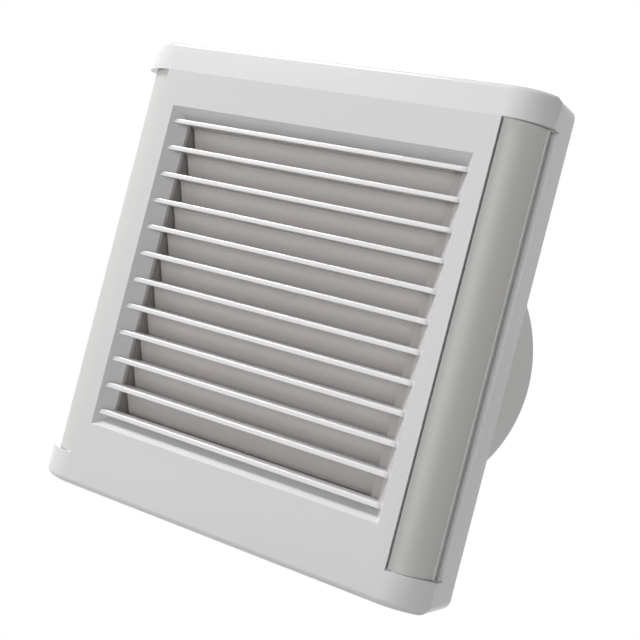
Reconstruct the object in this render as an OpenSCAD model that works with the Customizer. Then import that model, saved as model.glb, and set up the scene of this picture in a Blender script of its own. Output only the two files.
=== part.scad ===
// Window exhaust fan: a square louvred panel, a linked back-draught shutter behind it
// and a motor and impeller in a round duct sleeve. All sizes in millimetres.
// +X is to the right seen from the room, +Y runs from the room into the duct, +Z is up.
// The origin is on the duct axis, in the plane where the fan meets the wall or window.

/* [Panel] */
// Overall width of the front cover
panel_w = 198; // [190:1:230]
// Overall height of the front cover
panel_h = 206; // [198:1:240]
// Depth of the cover from its flat face to the wall
panel_d = 30; // [29:0.5:36]
// How far the flat middle of the face stops short of each side
face_in = 19; // [18:0.5:21]
// Radius of the curve at each side of the face
side_r = 24; // [22:0.5:26]
// Corner radius of the cover seen from the front
corner_r = 5; // [3:0.5:7]
// Height of the leaning band along the top of the face
band_h = 13.7; // [12:0.1:16]
// How far the band falls back at its outer edge
band_drop = 2.2; // [1:0.1:3]
// Rounding of the face's top and bottom edges
edge_r = 3; // [2:0.1:3.4]
// Wall thickness of the cover
cover_wall = 2.2; // [1.8:0.1:2.6]
// Height of the panel's centre above the duct axis
panel_rise = 10.5; // [6:0.5:12]

/* [Grille] */
// From the panel's left and right sides to the opening
opening_in_x = 25.5; // [25:0.5:29]
// From the panel's top and bottom to the opening
opening_in_z = 29.5; // [29:0.5:33]
// How far the bevelled reveal closes in on each side
bevel_in = 5.6; // [4:0.1:6.5]
// Depth of the bevelled reveal
bevel_d = 7; // [6:0.1:7.5]
// Depth of the straight rim behind the bevel
rim_d = 2; // [1.5:0.1:2.4]
// Thickness of a fin at its round nose
fin_t = 2.2; // [1.8:0.1:2.6]
// Thickness of a fin at its tail
fin_tail_t = 1.5; // [1:0.1:1.8]
// Depth of a fin from nose to tail
fin_d = 5.5; // [4.5:0.1:6]
// How far the noses sit behind the face
fin_setback = 1.5; // [1:0.1:2]
// How much higher a fin's tail is than its nose
fin_rise = 0.9; // [0:0.1:1.2]
// From the clear opening's edge to the first fin's middle
fin_edge = 0.8; // [0.6:0.1:1.4]

/* [Trim strips] */
// How far the strips lie under the cover's own surface
trim_recess = 1.6; // [1:0.1:2]
// Radius of a strip's crown
trim_r = 17.6; // [17:0.1:18.2]
// Width of a strip
trim_w = 15.1; // [14.5:0.1:15.4]
// Wall thickness of a strip
trim_wall = 1.8; // [1.4:0.1:2.2]
// Depth of the side wall's front edge beside a strip
ledge_d = 16.2; // [15.6:0.1:17]

/* [Shutter] */
// Depth of the flap hinges behind the face
hinge_d = 10.9; // [10.7:0.1:11.4]
// Radius of a flap's hinge barrel
barrel_r = 1.2; // [1.1:0.1:1.4]
// Radius of a flap's end pins
pin_r = 0.9; // [0.7:0.05:0.95]
// Thickness of a flap
flap_t = 0.9; // [0.8:0.1:1.1]
// How far a shut flap reaches past the next hinge
flap_lap = 1.4; // [0.8:0.1:1.6]
// Angle of the flaps from upright as stored
flap_angle = 28.7; // [22:0.1:34]
// Length of the crank arm on each flap
crank_len = 7; // [6:0.1:7.6]
// Angle from a flap's blade to its crank arm
crank_lead = 45.8; // [44:0.1:48]
// Depth of the shutter frame's cheeks
cheek_d = 13; // [12.6:0.1:14]
// Thickness of the shutter frame's walls
frame_wall = 2; // [1.6:0.1:2.2]

/* [Duct] */
// Outer diameter of the duct sleeve
duct_od = 150; // [144:1:152]
// Length of the sleeve beyond the wall plane
duct_len = 104; // [96:1:130]
// Wall thickness of the sleeve
duct_wall = 2.5; // [2:0.1:3]
// Rounding of the inlet edge, less than the plate's thickness
inlet_r = 2; // [1:0.1:2]
// Thickness of the back plate
plate_t = 2.5; // [2:0.1:3]
// From the panel's edges to the wall screws
screw_in = 15; // [14:0.5:17]
// Diameter of the wall screw holes
wall_hole_d = 4.5; // [4:0.1:5.5]

/* [Motor] */
// Outer diameter of the motor can
can_od = 66; // [62:1:70]
// Length of the motor can
can_len = 42; // [40:1:46]
// Depth of the motor's front face behind the wall plane
motor_y = 41; // [41:1:46]
// Diameter of the shaft
shaft_d = 6; // [5:0.5:7]
// Outer diameter of the bronze bushings
bush_od = 12; // [11:0.5:13]
// Length of the bronze bushings
bush_len = 9; // [8:0.5:10]
// The rotor's share of the can's diameter
rotor_share = 0.588; // [0.54:0.002:0.6]
// Length of the stator stack
stack_len = 20; // [16:1:22]

/* [Impeller] */
// Diameter over the blade tips
impeller_d = 139; // [130:1:140]
// Diameter of the hub
hub_d = 50; // [44:1:54]
// Length of the hub
hub_len = 26; // [24:1:27]
// Blade angle to the plane of rotation at the hub
root_pitch = 44; // [36:1:48]
// Blade angle to the plane of rotation at the tip
tip_pitch = 24; // [18:1:28]
// Chord of a blade at the hub
root_chord = 30; // [26:1:32]
// Chord of a blade at the tip
tip_chord = 46; // [38:1:50]
// Thickness of a blade at mid chord
blade_t = 2; // [1.6:0.1:2.6]

/* [Fit] */
// Clearance between covers and what they close on
fit_gap = 0.5; // [0.3:0.05:0.7]
// Radial clearance of running pins and shafts
run_gap = 0.05; // [0.03:0.01:0.08]
// Clearance round the trim strips
trim_gap = 0.2; // [0.1:0.05:0.3]

/* [Hidden] */
$fn = 64;

// Colours
white = [0.93, 0.93, 0.93];
pearl = [0.78, 0.78, 0.76];
grey = [0.70, 0.70, 0.69];
steel = [0.62, 0.63, 0.65];
bronze = [0.72, 0.53, 0.30];
copper = [0.72, 0.40, 0.22];
zinc = [0.75, 0.76, 0.78];
rubber = [0.12, 0.12, 0.13];

// Working lengths
eps = 0.01;
fin_count = 12;
flap_count = fin_count - 1;
face_y = -panel_d;
half_w = panel_w / 2;
half_h = panel_h / 2;
face_half = half_w - face_in;
opening_w = panel_w - 2 * opening_in_x;
opening_h = panel_h - 2 * opening_in_z;
clear_w = opening_w - 2 * bevel_in;
clear_h = opening_h - 2 * bevel_in;
fin_pitch = (clear_h - 2 * fin_edge) / (fin_count - 1);
funnel_y = face_y + bevel_d + rim_d;
strip_half = half_h - band_h;
corner_y = face_y + side_r;

// Trim strip section, worked out on the right side
groove_x = face_half + 0.8;
trim_x0 = groove_x + 0.4;
trim_x1 = trim_x0 + trim_w;
crown_x = trim_x0 - 0.9;
crown_y = face_y + trim_recess + trim_r;
ledge_y = face_y + ledge_d;
floor_x = trim_x1 - 1.3;
floor_y0 = face_y + 5.4;
floor_slope = (ledge_y - floor_y0) / (floor_x - groove_x);
floor_drop = cover_wall * sqrt(1 + floor_slope * floor_slope);
bead_r = 0.6;

// Base housing
plate_hw = half_w - cover_wall - fit_gap;
plate_hh = half_h - cover_wall - fit_gap;
base_rim_t = 1.8;
base_rim_in = 1.5;
base_rim_h = 7;
lip_t = 1.8;
lip_rise = 4.6;
lip_y = -plate_t - lip_rise;
latch_x = half_w * 0.4;
latch_w = 12;
nib_t = 1.8;
nib_gap = 0.3;
nib_bite = 0.9;
post_in_x = 29;
post_in_z = 11;
post_x = half_w - post_in_x;
post_z = half_h - post_in_z;
post_r = 3.2;
post_wall = 0.8;
boss_h = 1.5;
wall_boss_r = 5;
screw_dx = panel_w - 2 * screw_in;
screw_dz = panel_h - 2 * screw_in;
duct_r = duct_od / 2;
bore_r = duct_r - duct_wall;
duct_chamfer = 1.5;
seat_y = inlet_r - plate_t;
seat_gap = 1;
seat_step = 1;

// Shutter
cheek_x = clear_w / 2 + 0.3;
barrel_x = cheek_x - 0.5;
hinge_y = face_y + hinge_d;
hinge_top_z = panel_rise + (fin_count - 1) / 2 * fin_pitch + 0.3;
flap_len = fin_pitch + flap_lap;
ear_t = 1.3;
ear_gap = 0.5;
ear_w = 2.4;
ear_end_r = 1.5;
link_t = 1.5;
link_w = 3.6;
link_x = barrel_x - 0.5 - link_t;
ear_x = link_x - ear_gap - ear_t;
blade_x1 = ear_x - 0.6;
crank_pin_r = 0.8;
crank_angle = flap_angle + crank_lead;
crank_y = crank_len * sin(crank_angle);
crank_z = -crank_len * cos(crank_angle);
link_end = link_w / 2;
frame_top_z = hinge_top_z + crank_len + link_end + 0.3;
frame_low_z = hinge_top_z - flap_count * fin_pitch - flap_lap - 1;
frame_flange_t = 1.5;
frame_flange_w = 5;
frame_flange_end = 4;
frame_back_y = funnel_y + cheek_d;
link_guard_t = 0.5;
link_guard_in = 4.5;
frame_screw_in = 7.9;
frame_screw_x = clear_w / 2 - frame_screw_in;
frame_screw_out = 3.5;
frame_screw_len = 6.5;
frame_screw_dz = frame_top_z + frame_wall - panel_rise + frame_screw_out;

// Actuator, clipped to the outside of the right cheek
tab_flap = 8;
tab_drop = 5;
tab_t = 2;
tab_w = 4;
tab_hinge_z = hinge_top_z - tab_flap * fin_pitch;
tab_y = hinge_y + crank_y;
tab_z = tab_hinge_z + crank_z - tab_drop;
act_r = 5;
act_len = 30;
act_gap = 2;
act_x = cheek_x + frame_wall + act_r + act_gap;
act_y = tab_y - 0.3;
act_nose_r = 3.2;
act_nose_len = 3;
tab_reach = 3;
tab_x1 = act_x + tab_reach;
plunger_r = 1.8;
plunger_len = 19;
plunger_out = 4.7;
plunger_tip_z = tab_z - 0.33;
act_top_z = plunger_tip_z - plunger_out;
clip_gap = 0.1;
clip_wall = 1.6;
clip_w = 4;
clip_mouth = 7;
clip_z = [act_top_z - act_len * 0.3, act_top_z - act_len * 0.8];
collar_r = 6.1;
collar_t = 1.4;

// Screws
screw_r = 1.4;
screw_head_r = 2.7;
screw_head_t = 1.9;
screw_fit = 0.05;
slot_t = 0.7;
slot_w = 4;
slot_deep = 0.8;

// Motor
shaft_r = shaft_d / 2;
can_r = can_od / 2;
can_wall = 1.2;
bush_r = bush_od / 2;
boss_wall = 2.4;
boss_r = bush_r + boss_wall;
boss_in = 5;
boss_out = 4.5;
bush_end = 0.8;
bush_fit = 0.02;
skirt_t = 3.6;
skirt_gap = 0.4;
mount_r = can_r + skirt_gap + skirt_t;
mount_t = 3;
mount_y = motor_y - mount_t;
mount_hole_r = boss_r + 1.5;
mount_vent_r = 4;
arm_t = 3;
arm_d = 16;
arm_count = 4;
foot_t = 2;
foot_w = 14;
motor_screw_ring = can_r * 0.76;
can_end_y = motor_y + can_len;
bell_t = 2.5;
bell_lip = 3;
bell_lip_t = 1.95;
rear_bush_y = can_end_y - boss_in - 0.2;
vent_count = 8;
vent_w = 3.2;
vent_in = 5;
stack_y = motor_y + (can_len - stack_len) / 2;
stack_r = can_r - can_wall - 0.05;
rotor_r = can_r * rotor_share;
rotor_ring_t = 4.5;
rotor_ring_in = 1.5;
rotor_ring_out = 2;
air_gap = 0.5;
yoke_t = can_r * 0.136;
yoke_r = stack_r - yoke_t;
pole_w = can_r * 0.424;
coil_t = can_r * 0.106;
coil_gap = 0.9;
shaft_y0 = 1;
shaft_out = 3.5;
shaft_y1 = can_end_y + bell_t + shaft_out;

// Impeller
hub_r = hub_d / 2;
hub_gap = 4;
hub_y = mount_y - hub_gap - hub_len;
hub_wall = 2;
hub_face_t = 3;
hub_boss_r = 7;
hub_round = 5;
tip_r = impeller_d / 2;
blade_count = 7;
blade_rows = 8;
blade_cols = 8;
blade_camber = 0.07;
blade_sweep = 14;
nut_t = 5;
nut_r = 5.6;

// Terminal block and cable entry
term_w = 40;
term_h = 14;
term_d = 12;
term_in = 16;
term_z = panel_rise + half_h - term_in;
term_pitch = 12;
term_hole_r = 2.4;
term_floor = 4;
term_wire_r = 1.6;
term_slot = 1;
term_slot_deep = 2;
term_screw_in = 2;
cable_gap = 26;
cable_x = term_w / 2 + cable_gap;
cable_z = term_z - 1;
cable_hole_r = 6.5;
cable_bore_r = 4;
cable_flange_r = 8.5;
cable_flange_t = 1.6;
cable_lock_r = 7.6;
cable_lock_t = 1.2;

// ---- shared forms -------------------------------------------------------------

// A 2D drawing in X and Y, carried from z0 to z1
module along_z(z0, z1) {
    translate([0, 0, z0]) linear_extrude(z1 - z0) children();
}

// A 2D drawing in Y and Z, carried from x0 to x1
module along_x(x0, x1) {
    translate([x0, 0, 0]) rotate([90, 0, 90]) linear_extrude(x1 - x0) children();
}

// A 2D drawing in X and Z, carried from y0 to y1
module along_y(y0, y1) {
    translate([0, y1, 0]) rotate([90, 0, 0]) linear_extrude(y1 - y0) children();
}

// A round bar along Y from y0 to y1, at x and z
module rod_y(r, y0, y1, x = 0, z = 0) {
    translate([x, y0, z]) rotate([-90, 0, 0]) cylinder(r = r, h = y1 - y0);
}

// A round bar along X from x0 to x1, at y and z
module rod_x(r, x0, x1, y = 0, z = 0) {
    translate([x0, y, z]) rotate([0, 90, 0]) cylinder(r = r, h = x1 - x0, $fn = 32);
}

// A tube along Y
module tube_y(r_out, r_in, y0, y1) {
    difference() {
        rod_y(r_out, y0, y1);
        rod_y(r_in, y0 - 1, y1 + 1);
    }
}

// A block given by its low and high corners
module block(low, high) {
    translate(low) cube(high - low);
}

// A rectangle with round corners, centred
module round_rect(w, h, r) {
    square([w - 2 * r, h], center = true);
    square([w, h - 2 * r], center = true);
    for (x = [-1, 1], z = [-1, 1])
        translate([x * (w / 2 - r), z * (h / 2 - r)]) circle(r);
}

// A pan-head screw along +Y with the underside of its head at y = 0
module pan_screw(len) {
    rod_y(screw_r, -eps, len);
    difference() {
        rod_y(screw_head_r, -screw_head_t, 0);
        for (a = [0, 90])
            rotate([0, a, 0])
                block([-slot_w / 2, -screw_head_t - 1, -slot_t / 2],
                    [slot_w / 2, -screw_head_t + slot_deep, slot_t / 2]);
    }
}

// ---- front cover --------------------------------------------------------------

// Points on an arc about [y, z] from angle a0 to a1, in steps of about 10 degrees
function arc_points(y, z, r, a0, a1, steps = 10) =
    [for (i = [0 : steps]) let(a = a0 + (a1 - a0) * i / steps) [y + r * cos(a), z + r * sin(a)]];

// Outline of the upper band, inset by t: [how far behind the face, height] from the top down
function band_points(t) =
    let(
        r = max(edge_r - t, 0.3),
        top = half_h - t,
        lean = atan(band_drop / (top - r - strip_half)),
        round_z = top - r,
        round_y = (round_z - strip_half) * tan(lean) + r / cos(lean)
    )
    concat(arc_points(round_y, round_z, r, 90, 180 - lean), [[0, strip_half]]);

// Outline of the face from top to bottom, inset by t; its lower edge is only rounded
function face_points(t) =
    let(r = max(edge_r - t, 0.3))
    concat(band_points(t), arc_points(r, t - half_h + r, r, 180, 270));

// Side view of the cover's middle, inset by t
module cover_side(t) {
    polygon(concat(
        [[corner_y, half_h - t]],
        [for (p = face_points(t)) [face_y + t + p[0], p[1]]],
        [[corner_y, t - half_h]]));
}

// Half section of the curve at a side, inset by t, to turn about its own upright axis
module corner_half(t) {
    polygon(concat(
        [[0, half_h - t]],
        [for (p = face_points(t)) [side_r - t - p[0], p[1]]],
        [[0, t - half_h]]));
}

// The cover's outer form, inset by t, closed at the back at y = back
module cover_form(t, back) {
    r = corner_r - t;
    intersection() {
        union() {
            along_x(-face_half, face_half) cover_side(t);
            for (s = [0, 1])
                mirror([s, 0, 0]) intersection() {
                    translate([face_half, corner_y, 0]) rotate_extrude($fn = 128) corner_half(t);
                    block([face_half, face_y, -half_h], [panel_w, corner_y, half_h]);
                }
        }
        along_y(face_y - 1, corner_y + 1) round_rect(panel_w - 2 * t, panel_h - 2 * t, r);
    }
    along_y(corner_y, back) round_rect(panel_w - 2 * t, panel_h - 2 * t, r);
}

module cover_solid() { cover_form(0, 0); }

module cover_hollow() { cover_form(cover_wall, 1); }

// Space inside the bevelled reveal, widened by t all round, from the face to y = back
module reveal(t, front, back) {
    module profile(open, clear) {
        polygon([
            [-open / 2 - t, front], [-open / 2 - t, face_y], [-clear / 2 - t, face_y + bevel_d],
            [-clear / 2 - t, back], [clear / 2 + t, back], [clear / 2 + t, face_y + bevel_d],
            [open / 2 + t, face_y], [open / 2 + t, front]
        ]);
    }
    intersection() {
        along_z(-half_h, half_h) profile(opening_w, clear_w);
        rotate([0, 90, 0]) along_z(-half_h, half_h) profile(opening_h, clear_h);
    }
}

module fins() {
    nose_r = fin_t / 2;
    nose_y = face_y + fin_setback + nose_r;
    tail_y = face_y + fin_setback + fin_d;
    for (i = [0 : fin_count - 1])
        along_x(-opening_w / 2, opening_w / 2)
            translate([0, (i - (fin_count - 1) / 2) * fin_pitch]) {
                translate([nose_y, 0]) circle(nose_r, $fn = 32);
                polygon([
                    [nose_y, -nose_r], [tail_y, fin_rise - fin_tail_t / 2],
                    [tail_y, fin_rise + fin_tail_t / 2], [nose_y, nose_r]
                ]);
            }
}

// Recess for a trim strip, cut in plan; s is the side
module trim_recess_plan(s) {
    polygon([
        [s * groove_x, face_y - 5], [s * groove_x, floor_y0], [s * floor_x, ledge_y],
        [s * (half_w + 5), ledge_y], [s * (half_w + 5), face_y - 5]
    ]);
}

// The recess with its own wall round it
module trim_recess_wall(s) {
    x0 = groove_x - cover_wall;
    y0 = floor_y0 + floor_drop - floor_slope * cover_wall;
    polygon([
        [s * x0, face_y], [s * x0, y0], [s * floor_x, y0 + floor_slope * (floor_x - x0)],
        [s * (half_w + 5), y0 + floor_slope * (floor_x - x0)], [s * (half_w + 5), face_y]
    ]);
}

module front_cover() {
    color(white) translate([0, 0, panel_rise]) {
        difference() {
            union() {
                difference() {
                    cover_solid();
                    cover_hollow();
                }
                intersection() {
                    cover_solid();
                    union() {
                        reveal(cover_wall, face_y - 1, funnel_y);
                        for (s = [-1, 1])
                            along_z(-strip_half - cover_wall, strip_half + cover_wall)
                                trim_recess_wall(s);
                    }
                }
                for (x = [-1, 1], z = [-1, 1]) {
                    rod_y(post_r, face_y + cover_wall - 0.1, -plate_t, x * post_x, z * post_z);
                    rod_y(screw_head_r + post_wall, face_y + cover_wall - 0.1, funnel_y,
                        x * frame_screw_x, z * frame_screw_dz);
                    latch(x, z);
                }
            }
            reveal(0, face_y - 1, funnel_y + 1);
            for (s = [-1, 1])
                along_z(-strip_half, strip_half) trim_recess_plan(s);
            for (x = [-1, 1], z = [-1, 1])
                rod_y(screw_r + screw_fit, funnel_y - frame_screw_len + 0.5, funnel_y + 1,
                    x * frame_screw_x, z * frame_screw_dz);
        }
        intersection() {
            fins();
            reveal(cover_wall / 2, face_y - 1, funnel_y);
        }
    }
}

// One snap nib on the cover's top or bottom wall
module latch(x, z) {
    y0 = lip_y + lip_t + nib_gap;
    x0 = x * latch_x - latch_w / 2 + 1;
    z0 = plate_hh - nib_bite;
    z1 = half_h - cover_wall + 0.1;
    block([x0, y0, min(z * z0, z * z1)], [x0 + latch_w - 2, y0 + nib_t, max(z * z0, z * z1)]);
}

// ---- trim strips ----------------------------------------------------------------

// Section of a strip: a crowned channel with two legs that stand on the recess floor
module trim_plan(solid) {
    foot_y = floor_y0 + floor_slope * (trim_x0 - groove_x);
    foot_x = floor_x - 0.4;
    leg_y = ledge_y - floor_slope * 0.4;
    difference() {
        intersection() {
            translate([crown_x, crown_y]) circle(trim_r, $fn = 160);
            polygon([
                [trim_x0, face_y], [trim_x0, foot_y], [foot_x, leg_y], [trim_x1, leg_y],
                [trim_x1, face_y]
            ]);
        }
        if (!solid)
            intersection() {
                translate([crown_x, crown_y]) circle(trim_r - trim_wall, $fn = 160);
                translate([trim_x0 + trim_wall, face_y])
                    square([trim_w - 2 * trim_wall, panel_d]);
            }
    }
}

module trim_strip(s) {
    len = 2 * (strip_half - trim_gap);
    ribs = 5;
    rib_t = 1.6;
    bead_y = crown_y - sqrt(trim_r * trim_r - pow(trim_x1 - crown_x, 2)) + 0.2;
    color(pearl) translate([0, 0, panel_rise]) mirror([s < 0 ? 1 : 0, 0, 0]) {
        along_z(-len / 2, len / 2) {
            trim_plan(false);
            translate([trim_x1 - 0.1, bead_y]) circle(bead_r, $fn = 32);
        }
        for (i = [0 : ribs - 1]) {
            z = -len / 2 + i * (len - rib_t) / (ribs - 1);
            along_z(z, z + rib_t) trim_plan(true);
        }
    }
}

module left_trim_strip() { trim_strip(-1); }
module right_trim_strip() { trim_strip(1); }

// ---- base housing ---------------------------------------------------------------

module base_housing() {
    color(white) difference() {
        translate([0, 0, panel_rise]) {
            along_y(-plate_t, 0) round_rect(2 * plate_hw, 2 * plate_hh, corner_r - 1);
            difference() {
                along_y(-plate_t - base_rim_h, -plate_t + eps)
                    round_rect(2 * (plate_hw - base_rim_in), 2 * (plate_hh - base_rim_in), 3);
                along_y(-plate_t - base_rim_h - 1, 0)
                    round_rect(2 * (plate_hw - base_rim_in - base_rim_t),
                        2 * (plate_hh - base_rim_in - base_rim_t), 1.5);
            }
            for (x = [-1, 1], z = [-1, 1]) {
                z0 = plate_hh - base_rim_in - 0.1;
                z1 = plate_hh - 0.1;
                block([x * latch_x - latch_w / 2, lip_y, min(z * z0, z * z1)],
                    [x * latch_x + latch_w / 2, lip_y + lip_t, max(z * z0, z * z1)]);
                rod_y(wall_boss_r, -plate_t - boss_h, -plate_t + eps,
                    x * screw_dx / 2, z * screw_dz / 2);
            }
        }
        rod_y(bore_r, -plate_t - 1, 1);
        rod_y(duct_r + seat_gap, seat_y, 1);
        inlet_rounding();
        translate([0, 0, panel_rise])
            for (x = [-1, 1], z = [-1, 1])
                rod_y(wall_hole_d / 2, -plate_t - 2, 1, x * screw_dx / 2, z * screw_dz / 2);
        rod_y(cable_hole_r, -plate_t - 1, 1, cable_x, cable_z);
        rod_y(cable_lock_r, -cable_lock_t, 1, cable_x, cable_z);
    }
}

// What is cut away to round the inlet edge at the front of the plate
module inlet_rounding() {
    translate([0, -plate_t, 0]) rotate([-90, 0, 0]) rotate_extrude($fn = 128)
        difference() {
            translate([bore_r - 1, -1]) square([inlet_r + 1, inlet_r + 1]);
            translate([bore_r + inlet_r, inlet_r]) circle(inlet_r, $fn = 64);
        }
}

// Round sleeve seated in the plate's back, with its free end chamfered to enter a duct
module duct_sleeve() {
    color(white) difference() {
        union() {
            rod_y(duct_r - seat_step, seat_y, eps);
            rod_y(duct_r, 0, duct_len - duct_chamfer);
            translate([0, duct_len - duct_chamfer, 0]) rotate([-90, 0, 0])
                cylinder(r1 = duct_r, r2 = duct_r - duct_chamfer / 2, h = duct_chamfer);
        }
        rod_y(bore_r, seat_y - 1, duct_len + 1);
    }
}

// Motor plate on four arms whose feet follow the sleeve, with a short skirt round the can
module motor_mount() {
    back_y = mount_y + arm_d;
    color(white) difference() {
        union() {
            rod_y(mount_r, mount_y, motor_y);
            tube_y(mount_r, can_r + skirt_gap, motor_y - eps, back_y);
            for (i = [0 : arm_count - 1])
                rotate([0, 45 + i * 360 / arm_count, 0]) {
                    block([mount_r - 0.5, mount_y, -arm_t / 2],
                        [bore_r - foot_t / 2, back_y, arm_t / 2]);
                    intersection() {
                        tube_y(bore_r - run_gap, bore_r - foot_t, mount_y, back_y);
                        block([0, mount_y - 1, -foot_w / 2], [duct_r, back_y + 1, foot_w / 2]);
                    }
                }
        }
        rod_y(mount_hole_r, mount_y - 1, motor_y + 1);
        for (a = [45 : 90 : 315])
            rotate([0, a, 0])
                rod_y(screw_r + screw_fit, mount_y - 1, motor_y + 1, motor_screw_ring);
        for (a = [0 : 90 : 270])
            rotate([0, a, 0]) rod_y(mount_vent_r, mount_y - 1, motor_y - eps, motor_screw_ring - 1);
    }
}

// ---- shutter --------------------------------------------------------------------

module shutter_frame() {
    flange_x = cheek_x + frame_wall + frame_flange_w;
    flange_z = frame_screw_dz + frame_flange_end;
    tab_low = tab_hinge_z - crank_len - tab_drop + 1;
    tab_high = tab_hinge_z + crank_len - tab_drop + tab_t;
    color(grey) difference() {
        union() {
            block([-flange_x, funnel_y, panel_rise - flange_z],
                [flange_x, funnel_y + frame_flange_t, panel_rise + flange_z]);
            block([-cheek_x - frame_wall, funnel_y, frame_low_z - frame_wall],
                [cheek_x + frame_wall, frame_back_y, frame_top_z + frame_wall]);
            for (z = clip_z) {
                translate([act_x, act_y, z - clip_w / 2])
                    cylinder(r = act_r + clip_gap + clip_wall, h = clip_w);
                block([cheek_x + eps, act_y - act_r, z - clip_w / 2],
                    [act_x, act_y + act_r - 1, z + clip_w / 2]);
            }
        }
        translate([act_x, act_y, act_top_z - act_len - 5])
            cylinder(r = act_r + clip_gap, h = act_len);
        block([act_x, act_y - clip_mouth / 2, act_top_z - act_len - 5],
            [act_x + 2 * act_r, act_y + clip_mouth / 2, act_top_z]);
        block([-cheek_x, funnel_y + link_guard_t, frame_low_z], [cheek_x, frame_back_y + 1, frame_top_z]);
        block([-cheek_x, funnel_y - 1, frame_low_z], [cheek_x - link_guard_in, frame_back_y + 1, frame_top_z]);
        for (i = [0 : flap_count - 1])
            rod_x(pin_r + run_gap, -cheek_x - frame_wall - 1, cheek_x + frame_wall + 1,
                hinge_y, hinge_top_z - i * fin_pitch);
        block([cheek_x - 1, tab_y - 4, tab_low], [cheek_x + frame_wall + 1, frame_back_y + 1, tab_high]);
        for (x = [-1, 1], z = [-1, 1])
            rod_y(screw_r + screw_fit, funnel_y - 1, funnel_y + frame_flange_t + 1,
                x * frame_screw_x, panel_rise + z * frame_screw_dz);
    }
}

// One flap, hinged along X; i counts from the top
module flap(i) {
    color(grey) translate([0, hinge_y, hinge_top_z - i * fin_pitch]) {
        rod_x(barrel_r, -barrel_x, barrel_x);
        rod_x(pin_r, -cheek_x - frame_wall + 0.3, cheek_x + frame_wall - 0.3);
        rotate([flap_angle, 0, 0]) {
            block([-barrel_x + 0.3, -flap_t / 2, -flap_len + flap_t / 2], [blade_x1, flap_t / 2, 0]);
            rod_x(flap_t / 2 + 0.15, -barrel_x + 0.3, blade_x1, 0, -flap_len + flap_t / 2 + 0.15);
        }
        rotate([crank_angle, 0, 0]) {
            block([ear_x, -ear_w / 2, -crank_len], [ear_x + ear_t, ear_w / 2, 0]);
            rod_x(ear_end_r, ear_x, ear_x + ear_t, 0, -crank_len);
            rod_x(crank_pin_r, ear_x, link_x + link_t + 0.3, 0, -crank_len);
        }
    }
}

module flap_01() { flap(0); }
module flap_02() { flap(1); }
module flap_03() { flap(2); }
module flap_04() { flap(3); }
module flap_05() { flap(4); }
module flap_06() { flap(5); }
module flap_07() { flap(6); }
module flap_08() { flap(7); }
module flap_09() { flap(8); }
module flap_10() { flap(9); }
module flap_11() { flap(10); }

// Bar that joins the eleven cranks, with a foot that the actuator pushes
module shutter_link() {
    y = hinge_y + crank_y;
    z1 = hinge_top_z + crank_z;
    z0 = z1 - (flap_count - 1) * fin_pitch;
    color(grey) difference() {
        union() {
            block([link_x, y - link_w / 2, z0], [link_x + link_t, y + link_w / 2, z1]);
            for (z = [z0, z1]) rod_x(link_w / 2, link_x, link_x + link_t, y, z);
            block([link_x, tab_y - tab_w / 2, tab_z], [tab_x1, tab_y + tab_w / 2, tab_z + tab_t]);
        }
        for (i = [0 : flap_count - 1])
            rod_x(crank_pin_r + run_gap, link_x - 1, link_x + link_t + 1, y, z1 - i * fin_pitch);
    }
}

// Wax-motor body with two collars that keep it between the clips
module actuator_body() {
    z0 = act_top_z - act_len;
    color(white) translate([act_x, act_y, 0]) difference() {
        union() {
            translate([0, 0, z0]) cylinder(r = act_r, h = act_len - act_nose_len);
            translate([0, 0, act_top_z - act_nose_len - eps])
                cylinder(r = act_nose_r, h = act_nose_len + eps);
            translate([0, 0, clip_z[0] + clip_w / 2 + clip_gap]) cylinder(r = collar_r, h = collar_t);
            translate([0, 0, clip_z[1] - clip_w / 2 - clip_gap - collar_t])
                cylinder(r = collar_r, h = collar_t);
        }
        translate([0, 0, act_top_z - plunger_len + 1])
            cylinder(r = plunger_r + run_gap, h = plunger_len);
    }
}

module actuator_plunger() {
    tip_h = 1;
    color(steel) translate([act_x, act_y, plunger_tip_z - plunger_len]) {
        cylinder(r = plunger_r, h = plunger_len - tip_h);
        translate([0, 0, plunger_len - tip_h])
            cylinder(r1 = plunger_r, r2 = plunger_r - tip_h * 0.7, h = tip_h);
    }
}

module frame_screws() {
    color(zinc) for (x = [-1, 1], z = [-1, 1])
        translate([x * frame_screw_x, funnel_y + frame_flange_t, panel_rise + z * frame_screw_dz])
            rotate([180, 0, 0]) pan_screw(frame_screw_len);
}

// ---- motor ----------------------------------------------------------------------

module motor_can() {
    color(steel) difference() {
        rod_y(can_r, motor_y, can_end_y);
        difference() {
            rod_y(can_r - can_wall, motor_y + can_wall, can_end_y + 1);
            rod_y(boss_r, motor_y, motor_y + bush_len + 0.5);
        }
        rod_y(bush_r + bush_fit, motor_y + bush_end, can_end_y);
        rod_y(shaft_r + 1, motor_y - 1, can_end_y);
        for (a = [45 : 90 : 315])
            rotate([0, a, 0])
                rod_y(screw_r + screw_fit, motor_y - 1, motor_y + can_wall + 1, motor_screw_ring);
    }
}

module motor_end_bell() {
    color(steel) difference() {
        union() {
            rod_y(can_r, can_end_y, can_end_y + bell_t);
            tube_y(stack_r, stack_r - bell_lip_t, can_end_y - bell_lip, can_end_y + eps);
            rod_y(boss_r, can_end_y - boss_in, can_end_y + bell_t + boss_out);
        }
        rod_y(bush_r + bush_fit, can_end_y - boss_in - 1, rear_bush_y + bush_len);
        rod_y(shaft_r + 1, can_end_y - boss_in - 1, shaft_y1 + 0.5);
        for (i = [0 : vent_count - 1])
            rotate([0, i * 360 / vent_count, 0])
                along_y(can_end_y - 1, can_end_y + bell_t + 1) {
                    translate([boss_r + vent_in, -vent_w / 2])
                        square([can_r - boss_r - 2 * vent_in, vent_w]);
                    for (x = [boss_r + vent_in, can_r - vent_in])
                        translate([x, 0]) circle(vent_w / 2, $fn = 32);
                }
    }
}

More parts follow.
